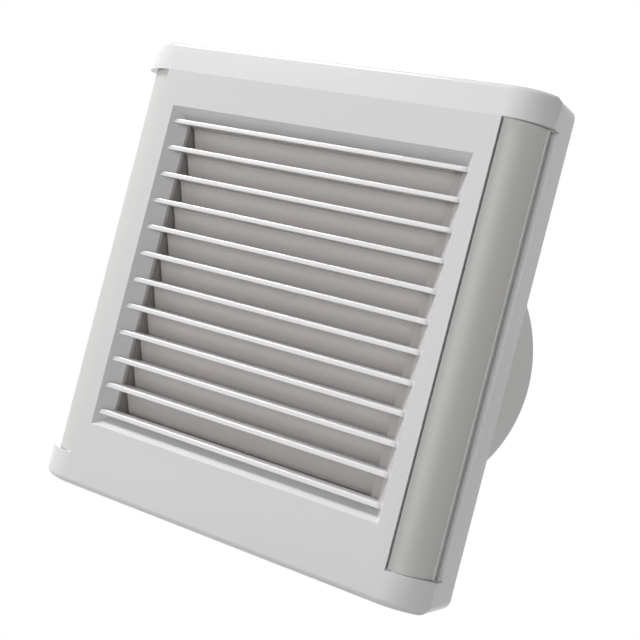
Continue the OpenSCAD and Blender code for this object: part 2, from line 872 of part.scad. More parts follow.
module stator_core() {
    color(steel) difference() {
        union() {
            tube_y(stack_r, yoke_r, stack_y, stack_y + stack_len);
            for (a = [0 : 90 : 270])
                rotate([0, a, 0])
                    block([rotor_r, stack_y, -pole_w / 2], [yoke_r + 0.5, stack_y + stack_len, pole_w / 2]);
        }
        rod_y(rotor_r + air_gap, stack_y - 1, stack_y + stack_len + 1);
    }
}

module stator_coils() {
    x0 = rotor_r + air_gap + coil_gap;
    x1 = sqrt(pow(yoke_r - 0.4, 2) - pow(pole_w / 2 + coil_t, 2));
    color(copper) for (a = [0 : 90 : 270])
        rotate([0, a, 0])
            difference() {
                block([x0, stack_y - coil_t, -pole_w / 2 - coil_t],
                    [x1, stack_y + stack_len + coil_t, pole_w / 2 + coil_t]);
                block([x0 - 1, stack_y - 0.05, -pole_w / 2 - 0.05],
                    [x1 + 1, stack_y + stack_len + 0.05, pole_w / 2 + 0.05]);
            }
}

module front_bushing() {
    y0 = motor_y + bush_end;
    color(bronze) tube_y(bush_r, shaft_r + run_gap, y0, y0 + bush_len);
}

module rear_bushing() {
    color(bronze) tube_y(bush_r, shaft_r + run_gap, rear_bush_y, rear_bush_y + bush_len);
}

module motor_shaft() {
    color(steel) rod_y(shaft_r, shaft_y0, shaft_y1);
}

module rotor_core() {
    color(steel) difference() {
        union() {
            rod_y(rotor_r, stack_y, stack_y + stack_len);
            tube_y(rotor_r - rotor_ring_in, rotor_r - rotor_ring_in - rotor_ring_t,
                stack_y - rotor_ring_out, stack_y + stack_len + rotor_ring_out);
        }
        rod_y(shaft_r + bush_fit, stack_y - 3, stack_y + stack_len + 3);
    }
}

// ---- impeller -------------------------------------------------------------------

function mix(a, b, t) = a + (b - a) * t;

// A point on a blade: f runs from root to tip, g from edge to edge, s is the face
function blade_point(f, g, s) =
    let(
        r = mix(hub_r - hub_wall / 2, tip_r, f),
        chord = mix(root_chord, tip_chord, f),
        pitch = mix(root_pitch, tip_pitch, f),
        u = g - 0.5,
        bow = 1 - 4 * u * u,
        n = chord * blade_camber * bow + s * blade_t / 2 * (0.35 + 0.65 * bow),
        around = u * chord * cos(pitch) - n * sin(pitch),
        axial = u * chord * sin(pitch) + n * cos(pitch),
        angle = around / r * 180 / PI + blade_sweep * f * f
    )
    [r * cos(angle), axial, r * sin(angle)];

module blade() {
    nr = blade_rows;
    nc = blade_cols;
    ring = 2 * (nc + 1);
    points = [
        for (i = [0 : nr]) each concat(
            [for (j = [0 : nc]) blade_point(i / nr, j / nc, 1)],
            [for (j = [nc : -1 : 0]) blade_point(i / nr, j / nc, -1)])
    ];
    side = [
        for (i = [0 : nr - 1], j = [0 : ring - 1])
            let(a = i * ring + j, b = i * ring + (j + 1) % ring)
            each [[a, b + ring, b], [a, a + ring, b + ring]]
    ];
    root = [
        for (j = [0 : nc - 1])
            let(a = j, b = j + 1, c = ring - 2 - j, d = ring - 1 - j)
            each [[a, b, c], [a, c, d]]
    ];
    tip = [for (t = root) [for (k = [2, 1, 0]) t[k] + nr * ring]];
    polyhedron(points, concat(side, root, tip), convexity = 4);
}

module impeller() {
    mid_y = hub_y + hub_len / 2;
    color(white) {
        difference() {
            union() {
                difference() {
                    union() {
                        rod_y(hub_r, hub_y + hub_round, hub_y + hub_len);
                        rod_y(hub_r - hub_round, hub_y, hub_y + hub_len);
                        translate([0, hub_y + hub_round, 0]) rotate([-90, 0, 0])
                            rotate_extrude($fn = 96)
                                translate([hub_r - hub_round, 0]) circle(hub_round, $fn = 64);
                    }
                    rod_y(hub_r - hub_wall, hub_y + hub_round, hub_y + hub_len + 1);
                    rod_y(hub_r - hub_round, hub_y + hub_face_t, hub_y + hub_len + 1);
                }
                rod_y(hub_boss_r, hub_y, hub_y + hub_len);
            }
            rod_y(shaft_r + bush_fit, hub_y - 1, hub_y + hub_len + 1);
        }
        for (i = [0 : blade_count - 1])
            rotate([0, i * 360 / blade_count, 0]) translate([0, mid_y, 0]) blade();
    }
}

module impeller_nut() {
    color(zinc) difference() {
        translate([0, hub_y - nut_t, 0]) rotate([-90, 0, 0]) cylinder(r = nut_r, h = nut_t, $fn = 6);
        rod_y(shaft_r + bush_fit, hub_y - nut_t - 1, hub_y + 1);
    }
}

module motor_screws() {
    color(zinc) for (a = [45 : 90 : 315])
        rotate([0, a, 0])
            translate([motor_screw_ring, mount_y, 0]) pan_screw(mount_t + can_wall + 0.5);
}

// ---- wiring ---------------------------------------------------------------------

module terminal_block() {
    front = -plate_t - term_d;
    color(white) difference() {
        block([-term_w / 2, front, term_z - term_h / 2], [term_w / 2, -plate_t, term_z + term_h / 2]);
        for (i = [-1 : 1]) {
            rod_y(term_hole_r, front - 1, -plate_t - term_floor, i * term_pitch, term_z);
            translate([i * term_pitch, -plate_t - term_floor, term_z - term_h])
                cylinder(r = term_wire_r, h = 2 * term_h);
        }
        for (i = [-1, 1])
            block([(i * term_pitch - term_slot) / 2, front - 1, term_z - term_h],
                [(i * term_pitch + term_slot) / 2, front + term_slot_deep, term_z + term_h]);
    }
}

module terminal_screws() {
    front = -plate_t - term_d + term_screw_in;
    color(bronze) for (i = [-1 : 1])
        translate([i * term_pitch, 0, term_z]) difference() {
            rod_y(term_hole_r - screw_fit, front, -plate_t - term_floor);
            block([-term_hole_r - 1, front - 1, -slot_t / 2], [term_hole_r + 1, front + 1, slot_t / 2]);
        }
}

module cable_grommet() {
    color(rubber) translate([cable_x, 0, cable_z]) difference() {
        union() {
            rod_y(cable_hole_r - 0.1, -plate_t - eps, 0);
            rod_y(cable_flange_r, -plate_t - cable_flange_t, -plate_t);
            rod_y(cable_lock_r - 0.1, -cable_lock_t, 0);
        }
        rod_y(cable_bore_r, -plate_t - cable_flange_t - 1, 1);
    }
}

front_cover();
left_trim_strip();
right_trim_strip();
base_housing();
duct_sleeve();
motor_mount();
shutter_frame();
flap_01();
flap_02();
flap_03();
flap_04();
flap_05();
flap_06();
flap_07();
flap_08();
flap_09();
flap_10();
flap_11();
shutter_link();
actuator_body();
actuator_plunger();
motor_can();
motor_end_bell();
stator_core();
stator_coils();
front_bushing();
rear_bushing();
motor_shaft();
rotor_core();
impeller();
impeller_nut();
motor_screws();
frame_screws();
terminal_block();
terminal_screws();
cable_grommet();
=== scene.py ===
"""Looks of the window exhaust fan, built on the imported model's own frame, in metres."""

import math

import bmesh
import bpy
import numpy as np
from mathutils import Matrix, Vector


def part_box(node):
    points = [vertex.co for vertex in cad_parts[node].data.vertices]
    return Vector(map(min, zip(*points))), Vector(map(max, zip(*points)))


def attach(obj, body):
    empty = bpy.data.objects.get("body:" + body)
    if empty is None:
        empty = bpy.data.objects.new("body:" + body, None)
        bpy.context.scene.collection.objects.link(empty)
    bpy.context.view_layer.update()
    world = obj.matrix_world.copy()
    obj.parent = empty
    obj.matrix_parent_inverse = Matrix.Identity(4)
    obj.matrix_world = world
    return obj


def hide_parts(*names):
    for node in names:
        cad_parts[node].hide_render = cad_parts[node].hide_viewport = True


bl_info = {
    "name": "Window Exhaust Fan",
    "version": (1, 0, 0),
    "blender": (4, 5, 0),
    "location": "3D View > Sidebar > Exhaust Fan",
    "description": (
        "Finishes, smooth impeller, wound coils and studio for a louvred window fan"
    ),
    "category": "Add Mesh",
}

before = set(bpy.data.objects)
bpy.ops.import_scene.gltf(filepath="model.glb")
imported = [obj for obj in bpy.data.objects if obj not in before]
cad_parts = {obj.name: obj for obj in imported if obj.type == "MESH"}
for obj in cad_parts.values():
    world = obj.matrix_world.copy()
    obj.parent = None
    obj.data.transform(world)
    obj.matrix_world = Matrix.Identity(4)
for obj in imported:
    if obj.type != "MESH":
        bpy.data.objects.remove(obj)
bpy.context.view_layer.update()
MM = 0.001
FLAPS = [f"flap_{i:02d}" for i in range(1, 12)]

# The camera was found from the photograph's edges. Lens and sensor are in millimetres.
CAMERA_PLACE = (0.2448, -0.4249, 0.0072)
CAMERA_FORWARD = (-0.4837, 0.8752, 0.0)
CAMERA_UP = (-0.2188, -0.1209, 0.9683)
CAMERA_LENS = 62.83
CAMERA_SENSOR = 36.0

# Soft boxes: name, place, size (width, height), power in watts.
LAMPS = (
    ("Key lamp", (-1.31, -0.71, 1.76), (0.75, 0.75), 51.0),
    ("Front fill", (0.30, -2.25, 0.14), (1.6, 0.8), 22.0),
    ("Left fill", (-1.90, -1.30, 0.13), (0.8, 0.8), 6.0),
    ("Back lamp", (-0.90, 1.80, 0.90), (1.2, 1.2), 15.0),
    ("Right lamp", (1.72, 1.38, 0.57), (1.2, 1.2), 8.5),
)
WORLD_TINT = (1.0, 1.0, 0.98, 1.0)
WORLD_LIGHT = 0.09
WHITE = (1.0, 1.0, 1.0, 1.0)

FLOOR_RADIUS = 6.0
FLOOR_PALE = ((0.84, 0.84, 0.84), (0.88, 0.88, 0.88))
FLOOR_BOUNCE = (0.34, 0.34, 0.33)
FLOOR_FADE = (0.12, 0.42)

FOLD_ANGLE = 30.0  # degrees; edges that fold by more are rounded
MERGE_LOOSE = 0.004 * MM
MERGE_DOUBLES = 0.001 * MM
COAT_ROUGHNESS = 0.07


# ---- properties ---------------------------------------------------------------------


def colour_prop(name, description, default):
    return bpy.props.FloatVectorProperty(
        name=name,
        description=description,
        subtype="COLOR",
        size=3,
        min=0.0,
        max=1.0,
        default=default,
    )


class FanColours(bpy.types.PropertyGroup):
    """Colours of the fan's finishes, as linear values."""

    cover: colour_prop("Cover", "Gloss white of the front cover", (0.64, 0.632, 0.635))
    trim: colour_prop("Trim", "Pearl of the two strips", (0.57, 0.563, 0.553))
    housing: colour_prop(
        "Housing", "White of the plate, sleeve and mount", (0.66, 0.665, 0.65)
    )
    shutter: colour_prop(
        "Shutter", "Grey of the flaps, frame and link", (0.585, 0.552, 0.546)
    )
    # Painted shade: the shutter's grey darkened for the shade on the frame's cheeks.
    frame_shade: colour_prop(
        "Frame shade", "Shaded grey of the shutter's frame", (0.40, 0.38, 0.372)
    )
    impeller: colour_prop("Impeller", "White of the impeller", (0.74, 0.75, 0.76))
    steel: colour_prop("Steel", "Zinc plated steel", (0.56, 0.57, 0.58))
    core: colour_prop("Core", "Bare edges of the laminations", (0.33, 0.33, 0.34))
    winding: colour_prop("Winding", "Enamelled copper wire", (0.52, 0.19, 0.07))
    bronze: colour_prop("Bronze", "Oiled bushing bronze", (0.52, 0.33, 0.14))
    screws: colour_prop("Screws", "Bright zinc of the screws", (0.66, 0.67, 0.69))
    terminal: colour_prop("Terminal", "Terminal block", (0.72, 0.71, 0.68))
    rubber: colour_prop("Rubber", "Cable grommet", (0.022, 0.022, 0.024))


class FanSizes(bpy.types.PropertyGroup):
    """Sizes that the finishes and new pieces use."""

    rounding: bpy.props.FloatProperty(
        name="Edge rounding",
        description="Radius on the cover's moulded edges",
        subtype="DISTANCE",
        unit="LENGTH",
        default=0.7 * MM,
        min=0.0,
    )
    soft: bpy.props.FloatProperty(
        name="Soft crease",
        description="Half width of the soft crease under the cover's leaning band",
        subtype="DISTANCE",
        unit="LENGTH",
        default=1.5 * MM,
        min=0.0,
    )
    band: bpy.props.FloatProperty(
        name="Band",
        description="Height of the leaning band along the cover's top",
        subtype="DISTANCE",
        unit="LENGTH",
        default=13.7 * MM,
    )
    fins: bpy.props.IntProperty(
        name="Fins", description="Fins across the grille", default=12, min=2
    )
    fin_pitch: bpy.props.FloatProperty(
        name="Fin pitch",
        description="From one fin to the next",
        subtype="DISTANCE",
        unit="LENGTH",
        default=12.2 * MM,
    )
    pole: bpy.props.FloatProperty(
        name="Pole",
        description="Width of a stator pole inside its coil",
        subtype="DISTANCE",
        unit="LENGTH",
        default=14.0 * MM,
    )
    blades: bpy.props.IntProperty(
        name="Blades", description="Blades on the impeller", default=7, min=3
    )
    wire: bpy.props.FloatProperty(
        name="Wire",
        description="Diameter of the winding wire",
        subtype="DISTANCE",
        unit="LENGTH",
        default=0.55 * MM,
    )
    floor_drop: bpy.props.FloatProperty(
        name="Floor",
        description="Height of the studio floor",
        subtype="DISTANCE",
        unit="LENGTH",
        default=-0.30,
    )


# ---- meshes -------------------------------------------------------------------------


def grid_faces(rows, cols, close_rows=False, close_cols=False):
    """Quads of a grid: (r, c), (r + 1, c), (r + 1, c + 1), (r, c + 1). The last row or
    column joins the first where it is closed."""
    r = np.arange(rows if close_rows else rows - 1)[:, None]
    c = np.arange(cols if close_cols else cols - 1)[None, :]
    r1, c1 = (r + 1) % rows, (c + 1) % cols
    quad = [r * cols + c, r1 * cols + c, r1 * cols + c1, r * cols + c1]
    return np.stack(quad, -1).reshape(-1, 4)


def mesh_object(name, parts):
    """One object from a list of (points (n, 3), quads (m, 4)). Doubled corners are
    merged, so poles and seams close."""
    points = np.concatenate([p.reshape(-1, 3) for p, _ in parts])
    offsets = np.cumsum([0] + [p.reshape(-1, 3).shape[0] for p, _ in parts[:-1]])
    quads = np.concatenate([q + o for (_, q), o in zip(parts, offsets)])
    mesh = bpy.data.meshes.new(name)
    mesh.vertices.add(len(points))
    mesh.vertices.foreach_set("co", points.astype(np.float32).ravel())
    mesh.loops.add(quads.size)
    mesh.loops.foreach_set("vertex_index", quads.astype(np.int32).ravel())
    mesh.polygons.add(len(quads))
    mesh.polygons.foreach_set("loop_start", np.arange(0, quads.size, 4, dtype=np.int32))
    mesh.update(calc_edges=True)
    work = bmesh.new()
    work.from_mesh(mesh)
    bmesh.ops.remove_doubles(work, verts=work.verts, dist=MERGE_DOUBLES)
    work.to_mesh(mesh)
    work.free()
    mesh.validate()
    obj = bpy.data.objects.new(name, mesh)
    bpy.context.scene.collection.objects.link(obj)
    mesh.shade_smooth()
    return obj


def revolved(profile, steps):
    """A closed profile of (radius, y) turned round Y: (r cos a, y, r sin a)."""
    profile = np.asarray(profile, float)
    a = np.linspace(0, 2 * np.pi, steps, endpoint=False)[:, None]
    r, y = profile[None, :, 0], profile[None, :, 1]
    points = np.stack([r * np.cos(a), y + 0 * a, r * np.sin(a)], -1)
    faces = grid_faces(steps, len(profile), True, True)
    return points, faces[:, ::-1]


def turned(points, angle):
    """Points turned round the Y axis: (x cos a - z sin a, y, x sin a + z cos a)."""
    c, s = math.cos(angle), math.sin(angle)
    x, y, z = points[..., 0], points[..., 1], points[..., 2]
    return np.stack([x * c - z * s, y, x * s + z * c], -1)


def capped(rings):
    """Rings (n, m, 3) of a tube with a pole added at each end, in its middle."""
    centre = rings.mean(axis=1, keepdims=True)
    first, last = 0 * rings[:1] + centre[:1], 0 * rings[:1] + centre[-1:]
    return np.concatenate([first, rings, last])


def smooth_shell():
    """A geometry group that merges the loose triangles, drops their stored normals and
    shades the whole smooth. It weighs the edges to round: `Weight` where they fold by
    more than `Fold`, and 1 on the shallow crease that runs level at height `Crease`."""
    name = "Smooth shell"
    if name in bpy.data.node_groups:
        return bpy.data.node_groups[name]
    tree = bpy.data.node_groups.new(name, "GeometryNodeTree")
    for side in ("INPUT", "OUTPUT"):
        tree.interface.new_socket(
            name="Geometry", in_out=side, socket_type="NodeSocketGeometry"
        )
    for key in ("Fold", "Crease", "Weight"):
        tree.interface.new_socket(
            name=key, in_out="INPUT", socket_type="NodeSocketFloat"
        )
    start, end = tree.nodes.new("NodeGroupInput"), tree.nodes.new("NodeGroupOutput")
    drop = tree.nodes.new("GeometryNodeRemoveAttribute")
    drop.inputs["Name"].default_value = "custom_normal"
    merge = tree.nodes.new("GeometryNodeMergeByDistance")
    merge.inputs["Distance"].default_value = MERGE_LOOSE
    shade = tree.nodes.new("GeometryNodeSetShadeSmooth")
    store = tree.nodes.new("GeometryNodeStoreNamedAttribute")
    store.data_type = "FLOAT"
    store.domain = "EDGE"
    store.inputs["Name"].default_value = "bevel_weight_edge"
    fold = tree.nodes.new("GeometryNodeInputMeshEdgeAngle").outputs["Unsigned Angle"]
    sharp = math_node(tree, "GREATER_THAN", fold, start.outputs["Fold"])
    ends = tree.nodes.new("GeometryNodeInputMeshEdgeVertices")
    least_fold, most_off = 0.05, 0.05 * MM
    level = math_node(tree, "GREATER_THAN", fold, least_fold)
    for key in ("Position 1", "Position 2"):
        split = tree.nodes.new("ShaderNodeSeparateXYZ")
        tree.links.new(ends.outputs[key], split.inputs[0])
        away = math_node(tree, "SUBTRACT", split.outputs["Z"], start.outputs["Crease"])
        away = math_node(tree, "ABSOLUTE", away)
        near = math_node(tree, "LESS_THAN", away, most_off)
        level = math_node(tree, "MULTIPLY", level, near)
    shallow = math_node(tree, "SUBTRACT", 1.0, sharp)
    level = math_node(tree, "MULTIPLY", level, shallow)
    sharp = math_node(tree, "MULTIPLY", sharp, start.outputs["Weight"])
    tree.links.new(math_node(tree, "ADD", sharp, level), store.inputs["Value"])
    chain = [start, drop, merge, shade, store, end]
    for a, b in zip(chain[:-1], chain[1:]):
        tree.links.new(a.outputs["Geometry"], b.inputs["Geometry"])
    return tree


def rounded(obj, width, segments=3, crease=None, soft=0.0):
    """Rounds a CAD node's edges by `width` with live modifiers, and the crease that
    runs level at height `crease` by `soft`."""
    group = smooth_shell()
    shell = obj.modifiers.new("Shell", "NODES")
    shell.node_group = group
    widest = width if crease is None else soft
    values = {
        "Fold": math.radians(FOLD_ANGLE),
        "Crease": -1.0 if crease is None else crease,
        "Weight": width / widest,
    }
    for item in group.interface.items_tree:
        if item.in_out == "INPUT" and item.name in values:
            shell[item.identifier] = values[item.name]
    bevel = obj.modifiers.new("Rounding", "BEVEL")
    bevel.width = widest
    bevel.segments = segments
    bevel.limit_method = "WEIGHT"
    bevel.use_clamp_overlap = True
    bevel.harden_normals = True
    bevel.miter_outer = "MITER_ARC"


# ---- shader groups ------------------------------------------------------------------


def put(tree, kind, **values):
    """Adds a shader node. A value is a setting, a number for the input of that name, or
    a socket to link to it."""
    node = tree.nodes.new(kind)
    for key, value in values.items():
        name = key.replace("_", " ")
        if hasattr(node, key) and name not in node.inputs:
            setattr(node, key, value)
            continue
        socket = node.inputs[name]
        if isinstance(value, bpy.types.NodeSocket):
            tree.links.new(value, socket)
        else:
            socket.default_value = value
    return node


def math_node(tree, operation, a, b=0.0, clamp=False):
    node = tree.nodes.new("ShaderNodeMath")
    node.operation = operation
    node.use_clamp = clamp
    for socket, value in zip(node.inputs, (a, b)):
        if isinstance(value, bpy.types.NodeSocket):
            tree.links.new(value, socket)
        else:
            socket.default_value = value
    return node.outputs[0]


def mix_colour(tree, factor, a, b):
    node = tree.nodes.new("ShaderNodeMix")
    node.data_type = "RGBA"
    for index, value in ((0, factor), (6, a), (7, b)):
        if isinstance(value, bpy.types.NodeSocket):
            tree.links.new(value, node.inputs[index])
        else:
            node.inputs[index].default_value = (
                value if index == 0 else (*value[:3], 1.0)
            )
    return node.outputs[2]


def shader_group(name, inputs, outputs):
    """An empty shader group; inputs and outputs are {name: default or socket kind}."""
    tree = bpy.data.node_groups.new(name, "ShaderNodeTree")
    for key, value in inputs.items():
        kind = "NodeSocketColor" if isinstance(value, tuple) else "NodeSocketFloat"
        made = tree.interface.new_socket(name=key, in_out="INPUT", socket_type=kind)
        made.default_value = value
    for key, kind in outputs.items():
        tree.interface.new_socket(name=key, in_out="OUTPUT", socket_type=kind)
    return tree, tree.nodes.new("NodeGroupInput"), tree.nodes.new("NodeGroupOutput")


def noise(tree, place, scale, detail, roughness, stretch=None):
    """Noise on Object coordinates, scale in cycles per metre, stretched per axis."""
    if stretch is not None:
        place = put(
            tree, "ShaderNodeMapping", Vector=place, Scale=stretch
        ).outputs["Vector"]
    made = put(tree, "ShaderNodeTexNoise", Vector=place, Detail=detail)
    made.inputs["Roughness"].default_value = roughness
    if isinstance(scale, bpy.types.NodeSocket):
        tree.links.new(scale, made.inputs["Scale"])
    else:
        made.inputs["Scale"].default_value = scale
    return made.outputs["Fac"]


def moulded_group():
    """Moulded plastic: a fine orange peel, slow flow marks and an uneven sheen."""
    if "Moulded skin" in bpy.data.node_groups:
        return bpy.data.node_groups["Moulded skin"]
    tree, start, end = shader_group(
        "Moulded skin",
        {
            "Colour": (0.8, 0.8, 0.8, 1.0),
            "Flow": 0.04,
            "Sheen spread": 0.06,
            "Roughness": 0.35,
            "Peel scale": 700.0,
        },
        {
            "Colour": "NodeSocketColor",
            "Roughness": "NodeSocketFloat",
            "Height": "NodeSocketFloat",
        },
    )
    place = put(tree, "ShaderNodeTexCoord").outputs["Object"]
    flow = noise(
        tree, place, scale=9.0, detail=3.0, roughness=0.55, stretch=(0.5, 1.0, 2.6)
    )
    flow = math_node(tree, "SUBTRACT", flow, 0.5)
    flow = math_node(tree, "MULTIPLY", flow, start.outputs["Flow"])
    tint = math_node(tree, "ADD", flow, 1.0)
    toned = put(tree, "ShaderNodeVectorMath", operation="SCALE", Scale=tint)
    tree.links.new(start.outputs["Colour"], toned.inputs[0])
    rub = noise(tree, place, scale=60.0, detail=3.0, roughness=0.6)
    rub = math_node(tree, "SUBTRACT", rub, 0.5)
    rub = math_node(tree, "MULTIPLY", rub, start.outputs["Sheen spread"])
    rough = math_node(tree, "ADD", start.outputs["Roughness"], rub, True)
    peel = noise(tree, place, start.outputs["Peel scale"], detail=1.0, roughness=0.4)
    tree.links.new(toned.outputs[0], end.inputs["Colour"])
    tree.links.new(rough, end.inputs["Roughness"])
    tree.links.new(peel, end.inputs["Height"])
    return tree


def shade_dust_group():
    """Painted shade and dirt: inner corners darken to warm grey, broken by noise."""
    if "Corner dust" in bpy.data.node_groups:
        return bpy.data.node_groups["Corner dust"]
    tree, start, end = shader_group(
        "Corner dust",
        {
            "Colour": (0.8, 0.8, 0.8, 1.0),
            "Dust": (0.35, 0.33, 0.31, 1.0),
            "Amount": 0.5,
            "Reach": 0.004,
        },
        {"Colour": "NodeSocketColor"},
    )
    # Painted shade: ambient occlusion darkens the inner corners, where shade falls.
    near = put(tree, "ShaderNodeAmbientOcclusion", samples=4)
    tree.links.new(start.outputs["Reach"], near.inputs["Distance"])
    shut = math_node(tree, "SUBTRACT", 1.0, near.outputs["AO"], True)
    place = put(tree, "ShaderNodeTexCoord").outputs["Object"]
    broken = noise(tree, place, scale=180.0, detail=3.0, roughness=0.6)
    broken = math_node(tree, "ADD", broken, 0.3, True)
    mask = math_node(tree, "MULTIPLY", shut, broken, True)
    mask = math_node(tree, "MULTIPLY", mask, start.outputs["Amount"], True)
    mixed = mix_colour(tree, mask, start.outputs["Colour"], start.outputs["Dust"])
    tree.links.new(mixed, end.inputs["Colour"])
    return tree


def metal_group():
    """Rolled or turned metal: hair lines along one axis, faint stains, a worn sheen."""
    if "Worked metal" in bpy.data.node_groups:
        return bpy.data.node_groups["Worked metal"]
    tree, start, end = shader_group(
        "Worked metal",
        {
            "Colour": (0.6, 0.6, 0.6, 1.0),
            "Roughness": 0.35,
            "Hair": 0.18,
            "Stain": 0.12,
            "Along X": 60.0,
            "Along Y": 900.0,
            "Along Z": 60.0,
        },
        {
            "Colour": "NodeSocketColor",
            "Roughness": "NodeSocketFloat",
            "Height": "NodeSocketFloat",
        },
    )
    place = put(tree, "ShaderNodeTexCoord").outputs["Object"]
    scale = tree.nodes.new("ShaderNodeCombineXYZ")
    for axis in "XYZ":
        tree.links.new(start.outputs[f"Along {axis}"], scale.inputs[axis])
    spread = put(tree, "ShaderNodeVectorMath", operation="MULTIPLY")
    tree.links.new(place, spread.inputs[0])
    tree.links.new(scale.outputs["Vector"], spread.inputs[1])
    hair = noise(tree, spread.outputs[0], scale=1.0, detail=3.0, roughness=0.6)
    stain = noise(tree, place, scale=55.0, detail=4.0, roughness=0.6)
    off = math_node(tree, "SUBTRACT", hair, 0.5)
    rough = math_node(tree, "MULTIPLY", off, start.outputs["Hair"])
    rough = math_node(tree, "ADD", rough, start.outputs["Roughness"], True)
    dull = math_node(tree, "SUBTRACT", stain, 0.5)
    dull = math_node(tree, "MULTIPLY", dull, start.outputs["Stain"])
    dull = math_node(tree, "ADD", dull, 1.0)
    toned = put(tree, "ShaderNodeVectorMath", operation="SCALE", Scale=dull)
    tree.links.new(start.outputs["Colour"], toned.inputs[0])
    tree.links.new(toned.outputs[0], end.inputs["Colour"])
    tree.links.new(rough, end.inputs["Roughness"])
    tree.links.new(hair, end.inputs["Height"])
    return tree


def layers_group():
    """Stacked laminations: dark joints every half millimetre along Y."""
    if "Stacked sheets" in bpy.data.node_groups:
        return bpy.data.node_groups["Stacked sheets"]
    tree, start, end = shader_group(
        "Stacked sheets",
        {"Colour": (0.3, 0.3, 0.3, 1.0), "Pitch": 0.5 * MM, "Joint": 0.65},
        {"Colour": "NodeSocketColor", "Height": "NodeSocketFloat"},
    )
    place = put(tree, "ShaderNodeTexCoord").outputs["Object"]
    split = put(tree, "ShaderNodeSeparateXYZ", Vector=place)
    turns = math_node(tree, "DIVIDE", split.outputs["Y"], start.outputs["Pitch"])
    wave = math_node(tree, "FRACT", turns)
    wave = math_node(tree, "SUBTRACT", wave, 0.5)
    wave = math_node(tree, "ABSOLUTE", wave)
    sheet_share, joint_colour = 0.38, (0.04, 0.035, 0.03)
    joint = math_node(tree, "GREATER_THAN", wave, sheet_share)
    shade = math_node(tree, "MULTIPLY", joint, start.outputs["Joint"])
    dark = mix_colour(tree, shade, start.outputs["Colour"], joint_colour)
    tree.links.new(dark, end.inputs["Colour"])
    tree.links.new(math_node(tree, "SUBTRACT", 1.0, joint), end.inputs["Height"])
    return tree


def use(tree, group, **values):
    """Places a shader group and sets or links its inputs."""
    node = tree.nodes.new("ShaderNodeGroup")
    node.node_tree = group
    for key, value in values.items():
        socket = node.inputs[key.replace("_", " ")]
        if isinstance(value, bpy.types.NodeSocket):
            tree.links.new(value, socket)
        elif isinstance(socket.default_value, float):
            socket.default_value = value
        else:
            socket.default_value = (*value[:3], 1.0)
    return node


def bump(tree, shader, height, strength, distance):
    """Bumps the shader's normal, `distance` metres deep where the height is 1."""
    node = put(
        tree, "ShaderNodeBump", Height=height, Strength=strength, Distance=distance
    )
    tree.links.new(node.outputs["Normal"], shader.inputs["Normal"])


def new_material(name):
    material = bpy.data.materials.new(name)
    material.use_nodes = True
    return material, material.node_tree, material.node_tree.nodes["Principled BSDF"]


def plastic(
    name,
    colour,
    roughness,
    flow=0.04,
    spread=0.06,
    peel=700.0,
    depth=0.02 * MM,
    # Amount and reach of the painted shade in inner corners.
    shade_dust=0.5,
    reach=4 * MM,
    coat=0.0,
    ior=1.5,
):
    """Moulded plastic with painted shade and dirt in its inner corners."""
    material, tree, shader = new_material(name)
    skin = use(
        tree,
        moulded_group(),
        Colour=colour,
        Flow=flow,
        Sheen_spread=spread,
        Roughness=roughness,
        Peel_scale=peel,
    )
    # Painted shade and dirt: inner corners darkened by ambient occlusion.
    shade_dust_node = use(
        tree,
        shade_dust_group(),
        Colour=skin.outputs["Colour"],
        Amount=shade_dust,
        Reach=reach,
    )
    tree.links.new(shade_dust_node.outputs["Colour"], shader.inputs["Base Color"])
    tree.links.new(skin.outputs["Roughness"], shader.inputs["Roughness"])
    bump(
        tree, shader, skin.outputs["Height"], strength=0.3, distance=depth
    )
    shader.inputs["IOR"].default_value = ior
    shader.inputs["Coat Weight"].default_value = coat
    shader.inputs["Coat Roughness"].default_value = COAT_ROUGHNESS
    return material


def metal(name, colour, roughness, along=(60.0, 900.0, 60.0), hair=0.18, stain=0.12):
    """Bare or plated metal with hair lines."""
    material, tree, shader = new_material(name)
    grain = use(
        tree,
        metal_group(),
        Colour=colour,
        Roughness=roughness,
        Hair=hair,
        Stain=stain,
        Along_X=along[0],
        Along_Y=along[1],
        Along_Z=along[2],
    )
    # Painted shade and dirt: inner corners darkened by ambient occlusion.
    shade_dust_node = use(
        tree,
        shade_dust_group(),
        Colour=grain.outputs["Colour"],
        Dust=(0.12, 0.11, 0.1),
        Amount=0.35,
        Reach=2 * MM,
    )
    tree.links.new(shade_dust_node.outputs["Colour"], shader.inputs["Base Color"])
    tree.links.new(grain.outputs["Roughness"], shader.inputs["Roughness"])
    bump(
        tree, shader, grain.outputs["Height"], strength=0.25, distance=0.01 * MM
    )
    shader.inputs["Metallic"].default_value = 1.0
    return material


def laminations(name, colour):
    """Stamped sheets in a stack, with a varnish over them."""
    material, tree, shader = new_material(name)
    grain = use(tree, metal_group(), Colour=colour, Roughness=0.42, Stain=0.3)
    sheets = use(tree, layers_group(), Colour=grain.outputs["Colour"])
    tree.links.new(sheets.outputs["Colour"], shader.inputs["Base Color"])
    tree.links.new(grain.outputs["Roughness"], shader.inputs["Roughness"])
    bump(
        tree, shader, sheets.outputs["Height"], strength=0.5, distance=0.04 * MM
    )
    shader.inputs["Metallic"].default_value = 0.85
    return material


def enamel(name, colour):
    """Enamelled wire: clear varnish over copper, each turn a little different."""
    material, tree, shader = new_material(name)
    grain = use(
        tree,
        metal_group(),
        Colour=colour,
        Roughness=0.32,
        Hair=0.1,
        Stain=0.5,
        Along_X=400.0,
        Along_Y=400.0,
        Along_Z=400.0,
    )
    tree.links.new(grain.outputs["Colour"], shader.inputs["Base Color"])
    tree.links.new(grain.outputs["Roughness"], shader.inputs["Roughness"])
    shader.inputs["Metallic"].default_value = 0.75
    shader.inputs["Coat Weight"].default_value = 0.6
    shader.inputs["Coat Roughness"].default_value = 0.15
    return material


